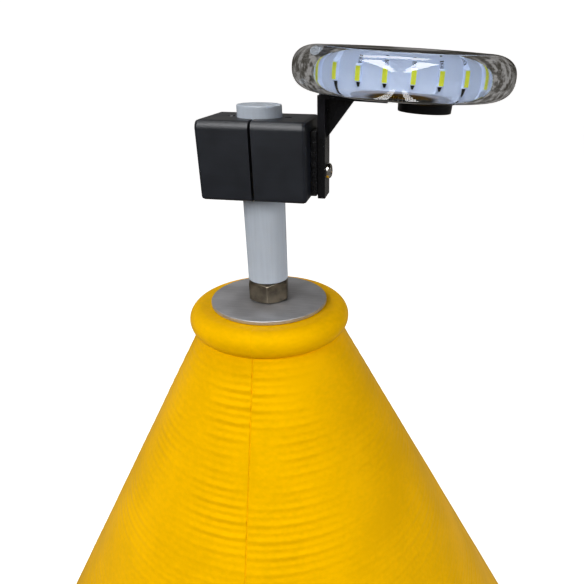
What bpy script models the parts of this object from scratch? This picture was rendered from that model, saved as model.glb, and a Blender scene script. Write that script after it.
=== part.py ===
"""Conical marker buoy with a lantern clamped to its mast.

Metres, +Z up. The origin is on the buoy's axis at floor height. The lantern reaches
out along +X. Both joints turn about the Z axis through the origin, so every object
keeps its origin there.
"""

import math

import bmesh
import bpy
import numpy as np
from mathutils import Matrix, Vector

# ---- driving sizes ------------------------------------------------------------
GAP = 0.0003  # between solids that touch in the real thing
CUTTER_TURN = 0.083  # bearing of a round cutter's first corner, in radians

# float
HULL_RADIUS = 0.290
CONE_HALF_ANGLE = math.radians(28.4)
COLLAR_TOP = 0.722
COLLAR_RADIUS = 0.0519
COLLAR_HEIGHT = 0.018
APEX_ABOVE_COLLAR = 0.0696  # where the cone's sides would meet
NECK_RADIUS = 0.0475
BILGE_HEIGHT = 0.168
BILGE_ROUNDING = 0.060
SHOULDER_ROUNDING = 0.095
FOOT_ROUNDING = 0.014
FOOT_OUTER = 0.172
FOOT_INNER = 0.120
RECESS_RADIUS = 0.105
RECESS_DEPTH = 0.158
RECESS_ROUNDING = 0.010
RECESS_LIP_ROUNDING = 0.008
BORE_RADIUS = 0.0083

# central rod and its hardware
ROD_RADIUS = 0.008
ROD_END = 0.048
ROD_TIP = 0.002  # shows below the end nut
ROD_EASE = 0.0012
NUT_FLATS = 0.024
NUT_HEIGHT = 0.013
TOP_PLATE_RADIUS = 0.0372
TOP_PLATE_THICKNESS = 0.0025
BOTTOM_PLATE_RADIUS = 0.045
BOTTOM_PLATE_THICKNESS = 0.004
BALLAST_RADIUS = 0.092
BALLAST_HEIGHT = 0.049

# mast
MAST_RADIUS = 0.0125
MAST_TOP_ABOVE_PLATE = 0.1148
MAST_SOCKET_DEPTH = 0.032

# mooring eye
EYE_HUB_RADIUS = 0.017
EYE_HUB_HEIGHT = 0.016
EYE_HALF_WIDTH = 0.027
EYE_WIRE_RADIUS = 0.006
EYE_BEND = 0.007
EYE_BOW_CENTRE = 0.038
EYE_PLAY = 0.001

# clamp
BLOCK_WIDTH = 0.0604
BLOCK_DEPTH = 0.0469
BLOCK_HEIGHT = 0.0415
BLOCK_TOP_ABOVE_PLATE = 0.1085
BLOCK_TOP_ROUNDING = 0.0045
BLOCK_EDGE = 0.0020
BLOCK_SLIT = 0.0015
THREAD_EASE = 0.0005
MAST_CLEARANCE = 0.0003
CLAMP_BOLT_RADIUS = 0.0020
CLAMP_BOLT_WALL = 0.0014  # left between the mast's hole and a clamp bolt's
CLAMP_BOLT_ABOVE_BOTTOM = 0.0125
CLAMP_BOLT_TAIL = 0.0200  # how far past the mast's axis the bolt ends
CLAMP_HEAD_RADIUS = 0.0035
CLAMP_HEAD_HEIGHT = 0.0040
CLAMP_HEAD_SINK = 0.0010
PIN_HOLE_RADIUS = 0.0022
PIN_HOLE_WALL = 0.0013  # left between the mast's hole and a pin's
PIN_HOLE_DEPTH = 0.009

# bracket
SPACER_THICKNESS = 0.0030
SPACER_HALF_DEPTH = 0.0105
SPACER_HEIGHT = 0.034
SPACER_RIBS = 7
SPACER_RIB_DEPTH = 0.0012
SPACER_BELOW_MIDDLE = 0.002
STRIP_THICKNESS = 0.0042
STRIP_HALF_DEPTH = 0.0082
STRIP_DROP = 0.0415  # strip's lower end below the clamp's top
ARM_LENGTH = 0.036
ARM_THICKNESS = 0.0032
GUSSET_REACH = 0.0150
GUSSET_DROP = 0.0200
GUSSET_THICKNESS = 0.0040
WELD_OVERLAP = 0.0010  # how far one shape of the bracket runs into another
SCREW_RADIUS = 0.0025
SCREW_HEAD_RADIUS = 0.0044
SCREW_HEAD_HEIGHT = 0.0026
SCREW_BELOW_TOP = 0.0275
SCREW_LENGTH = 0.012
LAMP_SCREW_RADIUS = 0.0015
LAMP_SCREW_HEAD_RADIUS = 0.0027
LAMP_SCREW_HEAD_HEIGHT = 0.0013
LAMP_SCREW_SINK = 0.0016
LAMP_SCREW_BITE = 0.0018
LAMP_SCREWS_FROM_TIP = (("inner", 0.0125), ("outer", 0.0045))

# lantern
LENS_RADIUS = 0.0571
LENS_HALF_HEIGHT = 0.0108
LENS_EDGE = 0.0150
LENS_POWER = 2.4
LENS_CROWN = 0.0008
LENS_CENTRE_X = 0.0772
LENS_CENTRE_ABOVE_PLATE = 0.1313
LENS_DROOP = math.radians(2.4)
CAVITY_ROOF = 0.0072
CAVITY_EASE = 0.0010
BASE_RADIUS = 0.0379
BASE_THICKNESS = 0.0065
SEAT_HEIGHT = 0.0030  # of the lens's inner floor above its underside
RING_RADIUS = 0.0447
RING_WALL = 0.0016
LED_COUNT = 24
LED_WIDTH = 0.0026
LED_HEIGHT = 0.0044
LED_STAND = 0.0012
LED_SINK = 0.0008
PANEL_RADIUS = 0.0435
PANEL_THICKNESS = 0.0012
CAP_RADIUS = 0.0155
CAP_HEIGHT = 0.0068
CAP_FLANGE_HEIGHT = 0.0024
CAP_STEP = 0.0012
CAP_EASE = 0.0008
CAP_OFFSET = 0.0135

# ---- derived heights ----------------------------------------------------------
PLATE_TOP = COLLAR_TOP + GAP + TOP_PLATE_THICKNESS
APEX = COLLAR_TOP + APEX_ABOVE_COLLAR
TAN_CONE = math.tan(CONE_HALF_ANGLE)
BAND_TOP = APEX - HULL_RADIUS / TAN_CONE
BLOCK_TOP = PLATE_TOP + BLOCK_TOP_ABOVE_PLATE
BLOCK_BOTTOM = BLOCK_TOP - BLOCK_HEIGHT
BLOCK_MIDDLE = BLOCK_TOP - BLOCK_HEIGHT / 2
CLAMP_BOLT_LEVEL = BLOCK_BOTTOM + CLAMP_BOLT_ABOVE_BOTTOM
MAST_HOLE_RADIUS = MAST_RADIUS + MAST_CLEARANCE
CLAMP_BOLT_OFFSET = MAST_HOLE_RADIUS + CLAMP_BOLT_WALL + CLAMP_BOLT_RADIUS
PIN_HOLE_OFFSET = MAST_HOLE_RADIUS + PIN_HOLE_WALL + PIN_HOLE_RADIUS
END_NUT_BOTTOM = ROD_END + ROD_TIP
CAVITY_RADIUS = RING_RADIUS + LED_STAND + 2 * GAP


# ---- helpers --------------------------------------------------------------------
def clear_scene():
    for obj in list(bpy.data.objects):
        bpy.data.objects.remove(obj, do_unlink=True)


def material(name, colour, roughness, metallic=0.0):
    made = bpy.data.materials.new(name)
    made.use_nodes = True
    shader = made.node_tree.nodes["Principled BSDF"]
    shader.inputs["Base Color"].default_value = (*colour, 1.0)
    shader.inputs["Roughness"].default_value = roughness
    shader.inputs["Metallic"].default_value = metallic
    return made


def add(name, points, faces, mat=None, smooth=False):
    mesh = bpy.data.meshes.new(name)
    mesh.from_pydata([tuple(p) for p in points], [], [tuple(f) for f in faces])
    shape = bmesh.new()
    shape.from_mesh(mesh)
    bmesh.ops.recalc_face_normals(shape, faces=shape.faces)
    if shape.calc_volume(signed=True) < 0:
        bmesh.ops.reverse_faces(shape, faces=shape.faces)
    shape.to_mesh(mesh)
    shape.free()
    obj = bpy.data.objects.new(name, mesh)
    bpy.context.scene.collection.objects.link(obj)
    if mat:
        mesh.materials.append(mat)
    if smooth:
        mesh.shade_smooth()
        mesh.set_sharp_from_angle(angle=math.radians(32))
    return obj


def arc(centre, radius, start, end, steps):
    """Points (r, z) on an arc, angles in degrees from +r towards +z."""
    turns = np.radians(np.linspace(start, end, steps + 1))
    return [(centre[0] + radius * math.cos(t), centre[1] + radius * math.sin(t)) for t in turns]


def lathe(name, profile, mat=None, segments=48, smooth=True, frame=None, first=0.0):
    """Turns (r, z) points about Z. Ends with r = 0 close on the axis, others close as a ring."""
    capped = profile[0][0] == 0 and profile[-1][0] == 0
    points, rows = [], []
    for r, z in profile:
        if r == 0:
            rows.append([len(points)] * segments)
            points.append((0.0, 0.0, z))
            continue
        rows.append(list(range(len(points), len(points) + segments)))
        for i in range(segments):
            turn = first + 2 * math.pi * i / segments
            points.append((r * math.cos(turn), r * math.sin(turn), z))
    if not capped:
        rows.append(rows[0])
    faces = []
    for low, high in zip(rows, rows[1:]):
        for i in range(segments):
            j = (i + 1) % segments
            corners = list(dict.fromkeys((low[i], low[j], high[j], high[i])))
            if len(corners) > 2:
                faces.append(corners)
    if frame is not None:
        points = [frame @ Vector(p) for p in points]
    return add(name, points, faces, mat, smooth)


def prism(name, outline, low, high, axis="Z", mat=None, frame=None):
    """Extrudes an outline between two levels along an axis (Z: x,y; Y: x,z; X: y,z)."""
    points = []
    for level in (low, high):
        for a, b in outline:
            points.append({"Z": (a, b, level), "Y": (a, level, b), "X": (level, a, b)}[axis])
    n = len(outline)
    faces = [list(range(n)), list(range(n, 2 * n))]
    faces += [(i, (i + 1) % n, n + (i + 1) % n, n + i) for i in range(n)]
    if frame is not None:
        points = [frame @ Vector(p) for p in points]
    return add(name, points, faces, mat)


def box(name, low, high, mat=None, frame=None):
    outline = [(low[0], low[1]), (high[0], low[1]), (high[0], high[1]), (low[0], high[1])]
    return prism(name, outline, low[2], high[2], "Z", mat, frame)


def helper(obj):
    obj.hide_render = True
    obj.display_type = "WIRE"
    return obj


def boolean(obj, other, operation="DIFFERENCE"):
    helper(other)
    step = obj.modifiers.new(other.name, "BOOLEAN")
    step.operation = operation
    step.solver = "EXACT"
    step.object = other
    return obj


def bevel(obj, width, segments=3, angle=40):
    step = obj.modifiers.new("edge", "BEVEL")
    step.width = width
    step.segments = segments
    step.limit_method = "ANGLE"
    step.angle_limit = math.radians(angle)
    return obj


def along_x(x, y, z):
    """Frame that lays a lathed piece's Z axis along +X at the given point."""
    return Matrix.Translation((x, y, z)) @ Matrix.Rotation(math.radians(90), 4, "Y")


def hexagon(flats, turn=0.0):
    corner = flats / math.sqrt(3)
    return [
        (corner * math.cos(math.radians(turn + 60 * i)), corner * math.sin(math.radians(turn + 60 * i)))
        for i in range(6)
    ]


def nut(name, flats, low, high, hole, mat, frame=None, turn=0.0):
    """Hexagon trimmed to a chamfered round at both ends, with its hole."""
    corner = flats / math.sqrt(3)
    edge = corner - flats / 2
    body = prism(name, hexagon(flats, turn), low, high, "Z", mat, frame)
    rounding = [
        (0, low),
        (flats / 2 - edge * 0.2, low),
        (corner + edge * 0.2, low + edge * 0.75),
        (corner + edge * 0.2, high - edge * 0.75),
        (flats / 2 - edge * 0.2, high),
        (0, high),
    ]
    boolean(body, lathe(name + "_round", rounding, None, 36, False, frame, 0.033), "INTERSECT")
    tube = [(0, low - 0.004), (hole, low - 0.004), (hole, high + 0.004), (0, high + 0.004)]
    boolean(body, lathe(name + "_hole", tube, None, 32, False, frame, 0.057))
    return body


def disc(name, radius, hole, low, high, mat, edge, segments=48):
    """Flat ring with eased outer edges."""
    profile = [(hole, low), (radius - edge, low)]
    profile += arc((radius - edge, low + edge), edge, -90, 0, 2)[1:]
    profile += arc((radius - edge, high - edge), edge, 0, 90, 2)
    profile += [(hole, high)]
    return lathe(name, profile, mat, segments)


# ---- float ------------------------------------------------------------------------
def tangent_angle(first, first_radius, second, second_radius):
    """Angle in degrees of the normal shared by two arcs that one straight line touches."""
    across, up = second[0] - first[0], second[1] - first[1]
    lean = math.acos((first_radius - second_radius) / math.hypot(across, up))
    return math.degrees(math.atan2(up, across) - lean)


def hull_profile():
    """(r, z) round the float's section, from the bore's lower end outwards and up."""
    ease, lip = RECESS_ROUNDING, RECESS_LIP_ROUNDING
    path = [(BORE_RADIUS, RECESS_DEPTH)]
    path += arc((RECESS_RADIUS - ease, RECESS_DEPTH - ease), ease, 90, 0, 3)
    path += arc((FOOT_INNER, lip), lip, 180, 270, 3)

    foot = (FOOT_OUTER - FOOT_ROUNDING, FOOT_ROUNDING)
    bilge = (HULL_RADIUS - BILGE_ROUNDING, BILGE_HEIGHT)
    lean = tangent_angle(foot, FOOT_ROUNDING, bilge, BILGE_ROUNDING)
    path += arc(foot, FOOT_ROUNDING, -90, lean, 4)
    path += arc(bilge, BILGE_ROUNDING, lean, 0, 5)

    cone = math.degrees(CONE_HALF_ANGLE)
    drop = SHOULDER_ROUNDING * math.tan(CONE_HALF_ANGLE / 2)
    shoulder = (HULL_RADIUS - SHOULDER_ROUNDING, BAND_TOP - drop)
    path += arc(shoulder, SHOULDER_ROUNDING, 0, cone, 5)

    neck = APEX - NECK_RADIUS / TAN_CONE
    for share in (0.25, 0.5, 0.75, 0.95, 1.0):
        level = path_mix(BAND_TOP, neck, share)
        path.append(((APEX - level) * TAN_CONE, level))
    bead = COLLAR_HEIGHT / 2
    path.append((NECK_RADIUS - 0.0008, neck + 0.0012))
    path += arc((COLLAR_RADIUS - bead, COLLAR_TOP - bead), bead, -72, 90, 9)
    path.append((BORE_RADIUS, COLLAR_TOP))
    return path


def path_mix(low, high, share):
    return low + (high - low) * share


def make_float(mats):
    lathe("float_hull", hull_profile(), mats["float"], 64)


# ---- rod, plates, nuts, ballast, mast -----------------------------------------------
def make_rod(mats):
    nut_low = PLATE_TOP + GAP
    nut_high = nut_low + NUT_HEIGHT
    mast_low = nut_high + GAP
    rod_top = mast_low + MAST_SOCKET_DEPTH - ROD_TIP
    ease = ROD_EASE
    rod = [(0, ROD_END), (ROD_RADIUS - ease, ROD_END), (ROD_RADIUS, ROD_END + ease)]
    rod += [(ROD_RADIUS, rod_top - ease), (ROD_RADIUS - ease, rod_top), (0, rod_top)]
    lathe("through_rod", rod, mats["steel"], 28)
    hole = ROD_RADIUS + GAP
    low = COLLAR_TOP + GAP
    disc("top_washer_plate", TOP_PLATE_RADIUS, hole, low, PLATE_TOP, mats["plate"], 0.0005)
    nut("hex_nut_top", NUT_FLATS, nut_low, nut_high, hole, mats["steel"], turn=-80)

    top = RECESS_DEPTH - GAP
    low = top - BALLAST_HEIGHT
    disc("ballast_disc", BALLAST_RADIUS, hole, low, top, mats["iron"], 0.004)
    top = low - GAP
    low = top - BOTTOM_PLATE_THICKNESS
    disc("bottom_washer_plate", BOTTOM_PLATE_RADIUS, hole, low, top, mats["plate"], 0.0006)
    top = low - GAP
    nut("hex_nut_bottom", NUT_FLATS, top - NUT_HEIGHT, top, hole, mats["steel"])
    low = END_NUT_BOTTOM
    nut("end_nut", NUT_FLATS, low, low + NUT_HEIGHT, hole, mats["steel"], turn=30)

    top = PLATE_TOP + MAST_TOP_ABOVE_PLATE
    socket = mast_low + MAST_SOCKET_DEPTH
    mast = [(0, socket), (hole, socket), (hole, mast_low)]
    mast += [(MAST_RADIUS - ease, mast_low), (MAST_RADIUS, mast_low + ease)]
    mast += arc((MAST_RADIUS - ease, top - ease), ease, 0, 90, 4) + [(0, top)]
    lathe("nylon_mast", mast, mats["nylon"], 48)


def make_mooring_eye(mats):
    """Hub that turns on the rod's lower end, with a round-bar bow hanging from it."""
    low = END_NUT_BOTTOM + NUT_HEIGHT + EYE_PLAY
    high = low + EYE_HUB_HEIGHT
    ease = 0.002
    middle = (low + high) / 2
    hub = [(0, low), (EYE_HUB_RADIUS - ease, low), (EYE_HUB_RADIUS, low + ease)]
    hub += [(EYE_HUB_RADIUS, high - ease), (EYE_HUB_RADIUS - ease, high), (0, high)]
    eye = lathe("mooring_eye", hub, mats["forged"], 36)
    inside = EYE_HUB_RADIUS * 0.6
    shoulder = EYE_HALF_WIDTH - EYE_BEND
    path = [(-inside, middle)]
    path += arc((-shoulder, middle - EYE_BEND), EYE_BEND, 90, 180, 5)
    path += arc((0, EYE_BOW_CENTRE), EYE_HALF_WIDTH, 180, 360, 14)
    path += arc((shoulder, middle - EYE_BEND), EYE_BEND, 0, 90, 5)
    path += [(inside, middle)]
    boolean(eye, sweep("eye_bow", path, EYE_WIRE_RADIUS, 16), "UNION")
    hole = ROD_RADIUS + 0.0006
    bore = [(0, low - 0.001), (hole, low - 0.001), (hole, high + 0.001), (0, high + 0.001)]
    boolean(eye, lathe("eye_bore", bore, None, 28, False))


def sweep(name, path, radius, sides):
    """Round bar along a path of (x, z) points in the plane y = 0, capped at both ends."""
    points, faces = [], []
    track = [np.array(p) for p in path]
    for i, p in enumerate(track):
        run = track[min(i + 1, len(track) - 1)] - track[max(i - 1, 0)]
        run = run / np.linalg.norm(run)
        side = np.array([run[1], -run[0]])
        for k in range(sides):
            turn = 2 * math.pi * k / sides
            spot = p + side * radius * math.cos(turn)
            points.append((spot[0], radius * math.sin(turn), spot[1]))
    for i in range(len(track) - 1):
        for k in range(sides):
            j = (k + 1) % sides
            a, b = i * sides, (i + 1) * sides
            faces.append((a + k, a + j, b + j, b + k))
    faces.append(tuple(range(sides)))
    faces.append(tuple(range((len(track) - 1) * sides, len(track) * sides)))
    return add(name, points, faces)


# ---- clamp ------------------------------------------------------------------------
def rounded_block(name, mat):
    """The whole clamp block, its two long top edges rounded more than the rest."""
    half = BLOCK_WIDTH / 2
    low = (-half, -BLOCK_DEPTH / 2, BLOCK_BOTTOM)
    high = (half, BLOCK_DEPTH / 2, BLOCK_TOP)
    block = box(name, low, high, mat)
    shape = bmesh.new()
    shape.from_mesh(block.data)
    long_top = [
        edge
        for edge in shape.edges
        if all(abs(vert.co.z - BLOCK_TOP) < 1e-6 for vert in edge.verts)
        and abs(edge.verts[0].co.x - edge.verts[1].co.x) > half
    ]
    bmesh.ops.bevel(
        shape, geom=long_top, offset=BLOCK_TOP_ROUNDING, segments=5, profile=0.5, affect="EDGES"
    )
    shape.to_mesh(block.data)
    shape.free()
    return bevel(block, BLOCK_EDGE, 2)


def make_clamp_half(name, side, mats):
    """One half of the split block: side is -1 for the left half, +1 for the right."""
    half = BLOCK_WIDTH / 2
    block = rounded_block(name, mats["block"])
    reach = sorted((side * BLOCK_SLIT / 2, side * 2 * half))
    low = (reach[0], -BLOCK_DEPTH, BLOCK_BOTTOM - half)
    high = (reach[1], BLOCK_DEPTH, BLOCK_TOP + half)
    boolean(block, box(name + "_keep", low, high), "INTERSECT")
    cut(block, name + "_bore", MAST_HOLE_RADIUS, BLOCK_BOTTOM - 0.01, BLOCK_TOP + 0.01, 48)
    spot = Matrix.Translation((side * PIN_HOLE_OFFSET, 0, 0))
    cut(block, name + "_pin", PIN_HOLE_RADIUS, BLOCK_TOP - PIN_HOLE_DEPTH, BLOCK_TOP + 0.01, 20, spot)
    for place, y in clamp_bolts():
        lay = along_x(0, y, CLAMP_BOLT_LEVEL)
        end = CLAMP_BOLT_TAIL + GAP if side > 0 else half
        cut(block, f"{name}_{place}", CLAMP_BOLT_RADIUS + GAP, -half, end, 20, lay)
        if side < 0:
            wide = CLAMP_HEAD_RADIUS + GAP
            seat = half - CLAMP_HEAD_HEIGHT - CLAMP_HEAD_SINK
            cut(block, f"{name}_{place}_seat", wide, -2 * half, -seat, 28, lay)
    if side > 0:
        lay = along_x(0, 0, BLOCK_TOP - SCREW_BELOW_TOP)
        cut(block, name + "_screw", SCREW_RADIUS + GAP, half - SCREW_LENGTH, 2 * half, 24, lay)
    return block


def clamp_bolts():
    return (("front", -CLAMP_BOLT_OFFSET), ("rear", CLAMP_BOLT_OFFSET))


def cut(obj, name, radius, low, high, sides, frame=None):
    """Bores a round hole. The cutter's corners are turned off the axes, clear of the block's own edges."""
    tube = [(0, low), (radius, low), (radius, high), (0, high)]
    return boolean(obj, lathe(name, tube, None, sides, False, frame, CUTTER_TURN))


def make_clamp_bolts(mats):
    """Socket-headed bolts sunk in the left half and threaded into the right."""
    base = -(BLOCK_WIDTH / 2 - CLAMP_HEAD_HEIGHT - CLAMP_HEAD_SINK) - GAP
    tip = base - CLAMP_HEAD_HEIGHT
    end = CLAMP_BOLT_TAIL
    ease = THREAD_EASE
    for place, y in clamp_bolts():
        lay = along_x(0, y, CLAMP_BOLT_LEVEL)
        bolt = [(0, tip), (CLAMP_HEAD_RADIUS - ease, tip), (CLAMP_HEAD_RADIUS, tip + ease)]
        bolt += [(CLAMP_HEAD_RADIUS, base), (CLAMP_BOLT_RADIUS, base)]
        bolt += [(CLAMP_BOLT_RADIUS, end - ease), (CLAMP_BOLT_RADIUS - ease, end), (0, end)]
        body = lathe("clamp_bolt_" + place, bolt, mats["steel"], 24, True, lay)
        key = prism(f"key_{place}", hexagon(0.003), tip - 0.001, tip + 0.002, "Z", None, lay)
        boolean(body, key)


# ---- bracket ----------------------------------------------------------------------
STRIP_INNER = BLOCK_WIDTH / 2 + GAP + SPACER_THICKNESS + GAP
STRIP_OUTER = STRIP_INNER + STRIP_THICKNESS


def lamp_frame():
    """The lantern's own frame: Z up through its middle, drooping a little along +X."""
    place = Matrix.Translation((LENS_CENTRE_X, 0, PLATE_TOP + LENS_CENTRE_ABOVE_PLATE))
    return place @ Matrix.Rotation(LENS_DROOP, 4, "Y")


def arm_top():
    """Level of the arm's upper face in the lantern's frame."""
    return -LENS_HALF_HEIGHT - GAP


def make_spacer(mats):
    x0 = BLOCK_WIDTH / 2 + GAP
    x1 = x0 + SPACER_THICKNESS
    low = BLOCK_MIDDLE - SPACER_BELOW_MIDDLE - SPACER_HEIGHT / 2
    pitch = SPACER_HEIGHT / (2 * SPACER_RIBS - 1)
    groove = SPACER_HALF_DEPTH - SPACER_RIB_DEPTH
    outline = []
    for i in range(SPACER_RIBS):
        start = low + 2 * i * pitch
        outline += [(-SPACER_HALF_DEPTH, start), (-SPACER_HALF_DEPTH, start + pitch)]
        if i < SPACER_RIBS - 1:
            outline += [(-groove, start + pitch), (-groove, start + 2 * pitch)]
    outline += [(-y, z) for y, z in reversed(outline)]
    spacer = prism("bracket_spacer", outline, x0, x1, "X", mats["black"])
    lay = along_x(0, 0, BLOCK_TOP - SCREW_BELOW_TOP)
    cut(spacer, "spacer_hole", SCREW_RADIUS + GAP, x0 - 0.01, x1 + 0.01, 24, lay)


def make_bracket(mats):
    """Upright strip on the clamp, the arm under the lantern, and a gusset where they meet."""
    frame = lamp_frame()
    top = arm_top()
    start = frame.inverted() @ Vector((STRIP_INNER, 0, BLOCK_TOP))
    arm_low = top - ARM_THICKNESS
    x0 = start[0] + WELD_OVERLAP / 2
    strip_low = BLOCK_TOP - STRIP_DROP
    side = (frame @ Vector((x0, 0, arm_low)))[2]
    strip_high = side + ARM_THICKNESS / 2
    knee = side - GUSSET_DROP
    outline = [(STRIP_INNER, strip_low), (STRIP_OUTER, strip_low), (STRIP_OUTER, knee)]
    outline += [(STRIP_OUTER, strip_high), (STRIP_INNER, strip_high)]
    strip = prism("lamp_bracket", outline, -STRIP_HALF_DEPTH, STRIP_HALF_DEPTH, "Y", mats["black"])
    x1 = x0 + ARM_LENGTH
    arm = box("arm", (x0, -STRIP_HALF_DEPTH, arm_low), (x1, STRIP_HALF_DEPTH, top), None, frame)
    boolean(strip, arm, "UNION")
    reach = STRIP_OUTER + GUSSET_REACH
    root = STRIP_OUTER - WELD_OVERLAP
    buried = side + WELD_OVERLAP
    web = [(root, knee), (STRIP_OUTER, knee), (reach, side - 2 * GAP), (reach, buried), (root, buried)]
    thick = GUSSET_THICKNESS / 2
    boolean(strip, prism("gusset", web, -thick, thick, "Y"), "UNION")
    lay = along_x(0, 0, BLOCK_TOP - SCREW_BELOW_TOP)
    cut(strip, "strip_hole", SCREW_RADIUS + GAP, 0.01, STRIP_OUTER + 0.01, 24, lay)
    hole, seat = LAMP_SCREW_RADIUS + GAP, LAMP_SCREW_HEAD_RADIUS + GAP
    below, above = arm_low - ARM_THICKNESS, top + ARM_THICKNESS
    for place, x in lamp_screws():
        spot = frame @ Matrix.Translation((x, 0, 0))
        cut(strip, "arm_hole_" + place, hole, below, above, 20, spot)
        cut(strip, "arm_seat_" + place, seat, below, arm_low + LAMP_SCREW_SINK, 24, spot)


def lamp_screws():
    """Where the two screws hold the lantern to the arm, along the lantern's own X."""
    start = (lamp_frame().inverted() @ Vector((STRIP_INNER, 0, BLOCK_TOP)))[0]
    tip = start + ARM_LENGTH
    return [(place, tip - back) for place, back in LAMP_SCREWS_FROM_TIP]


def screw(name, head_radius, head_height, radius, length, frame, mat):
    """Domed head with a cross-slot, underside at z = 0, shank down to -length."""
    dome = []
    for i in range(6):
        t = i / 5 * math.pi / 2
        dome.append((head_radius * math.cos(t) ** 0.6, head_height * math.sin(t)))
    dome[-1] = (0, head_height)
    profile = [(0, -length), (radius - 0.0004, -length), (radius, -length + 0.0004)]
    profile += [(radius, 0), (head_radius - 0.0001, 0)] + [(dome[0][0], 0.0004)] + dome[1:]
    body = lathe(name, profile, mat, 28, True, frame)
    deep = head_height * 0.45
    notch = head_radius * 0.5
    for i, (a, b) in enumerate(((notch, 0.0004), (0.0004, notch))):
        low, high = (-a, -b, deep), (a, b, head_height + 0.001)
        boolean(body, box(f"{name}_slot_{i}", low, high, None, frame))
    return body


def make_bracket_screws(mats):
    seat = along_x(STRIP_OUTER + GAP, 0, BLOCK_TOP - SCREW_BELOW_TOP)
    length = STRIP_OUTER + GAP - BLOCK_WIDTH / 2 + SCREW_LENGTH - 0.001
    size = (SCREW_HEAD_RADIUS, SCREW_HEAD_HEIGHT, SCREW_RADIUS, length)
    screw("bracket_screw", *size, seat, mats["steel"])
    frame = lamp_frame()
    under = arm_top() - ARM_THICKNESS + LAMP_SCREW_SINK - GAP
    length = ARM_THICKNESS - LAMP_SCREW_SINK + GAP + LAMP_SCREW_BITE
    size = (LAMP_SCREW_HEAD_RADIUS, LAMP_SCREW_HEAD_HEIGHT, LAMP_SCREW_RADIUS, length)
    for place, x in lamp_screws():
        spot = frame @ Matrix.Translation((x, 0, under)) @ Matrix.Rotation(math.pi, 4, "X")
        screw("lamp_screw_" + place, *size, spot, mats["steel"])


# ---- lantern ------------------------------------------------------------------------
def rim(steps):
    """Quarter of the lens's edge, from its widest point up to its flat top, as (r, z)."""
    points = []
    for i in range(steps + 1):
        t = i / steps * math.pi / 2
        r = LENS_RADIUS - LENS_EDGE + LENS_EDGE * math.cos(t) ** (2 / LENS_POWER)
        points.append((r, LENS_HALF_HEIGHT * math.sin(t) ** (2 / LENS_POWER)))
    points[-1] = (LENS_RADIUS - LENS_EDGE, LENS_HALF_HEIGHT)
    return points


def make_lantern(mats):
    """Clear lens with an air cavity, and the base, cap, LED ring and solar panel that it holds."""
    frame = lamp_frame()
    upper = rim(7)
    seat = SEAT_HEIGHT - LENS_HALF_HEIGHT + GAP
    wall = BASE_RADIUS + GAP
    ease = CAVITY_EASE
    profile = [(0, CAVITY_ROOF), (CAVITY_RADIUS - ease, CAVITY_ROOF)]
    profile += [(CAVITY_RADIUS, CAVITY_ROOF - ease), (CAVITY_RADIUS, seat)]
    profile += [(wall, seat), (wall, -LENS_HALF_HEIGHT)]
    profile += [(r, -z) for r, z in reversed(upper)]
    profile += upper[1:]
    profile += [(LENS_RADIUS / 2, LENS_HALF_HEIGHT + LENS_CROWN * 3 / 4)]
    profile += [(0, LENS_HALF_HEIGHT + LENS_CROWN)]
    lathe("lamp_lens", profile, mats["clear"], 60, True, frame)

    low = -LENS_HALF_HEIGHT
    high = low + BASE_THICKNESS
    radius = BASE_RADIUS
    base = [(0, low), (radius - 0.0005, low), (radius, low + 0.0005), (radius, high), (0, high)]
    plate = lathe("lamp_base", base, mats["black"], 48, True, frame)
    hole = LAMP_SCREW_RADIUS + GAP
    for place, x in lamp_screws():
        spot = frame @ Matrix.Translation((x, 0, 0))
        cut(plate, "base_hole_" + place, hole, low - BASE_THICKNESS, low + LAMP_SCREW_BITE + GAP, 20, spot)

    top = low - GAP
    bottom, flange = top - CAP_HEIGHT, top - CAP_FLANGE_HEIGHT
    narrow, wide, ease = CAP_RADIUS - CAP_STEP, CAP_RADIUS + CAP_STEP, CAP_EASE
    cap = [(0, bottom), (narrow - ease, bottom), (narrow, bottom + ease), (narrow, flange)]
    cap += [(wide, flange + ease / 2), (wide, top - ease / 2), (wide - ease / 2, top), (0, top)]
    spot = frame @ Matrix.Translation((CAP_OFFSET, 0, 0))
    lathe("lamp_cap", cap, mats["black"], 36, True, spot)

    low = high + GAP
    high = CAVITY_ROOF - GAP - PANEL_THICKNESS - GAP
    inner = RING_RADIUS - RING_WALL
    ring = [(inner, low), (RING_RADIUS, low), (RING_RADIUS, high), (inner, high)]
    led_ring = lathe("led_ring", ring, mats["white"], 60, True, frame)
    for i in range(LED_COUNT):
        spot = frame @ Matrix.Rotation(2 * math.pi * (i + 0.5) / LED_COUNT, 4, "Z")
        near, far = RING_RADIUS - LED_SINK, RING_RADIUS + LED_STAND
        lo = (near, -LED_WIDTH / 2, -LED_HEIGHT / 2)
        hi = (far, LED_WIDTH / 2, LED_HEIGHT / 2)
        boolean(led_ring, box(f"led_{i:02d}", lo, hi, None, spot), "UNION")

    low = high + GAP
    high = low + PANEL_THICKNESS
    panel = [(0, low), (PANEL_RADIUS, low), (PANEL_RADIUS, high), (0, high)]
    lathe("solar_panel", panel, mats["panel"], 48, True, frame)


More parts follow.
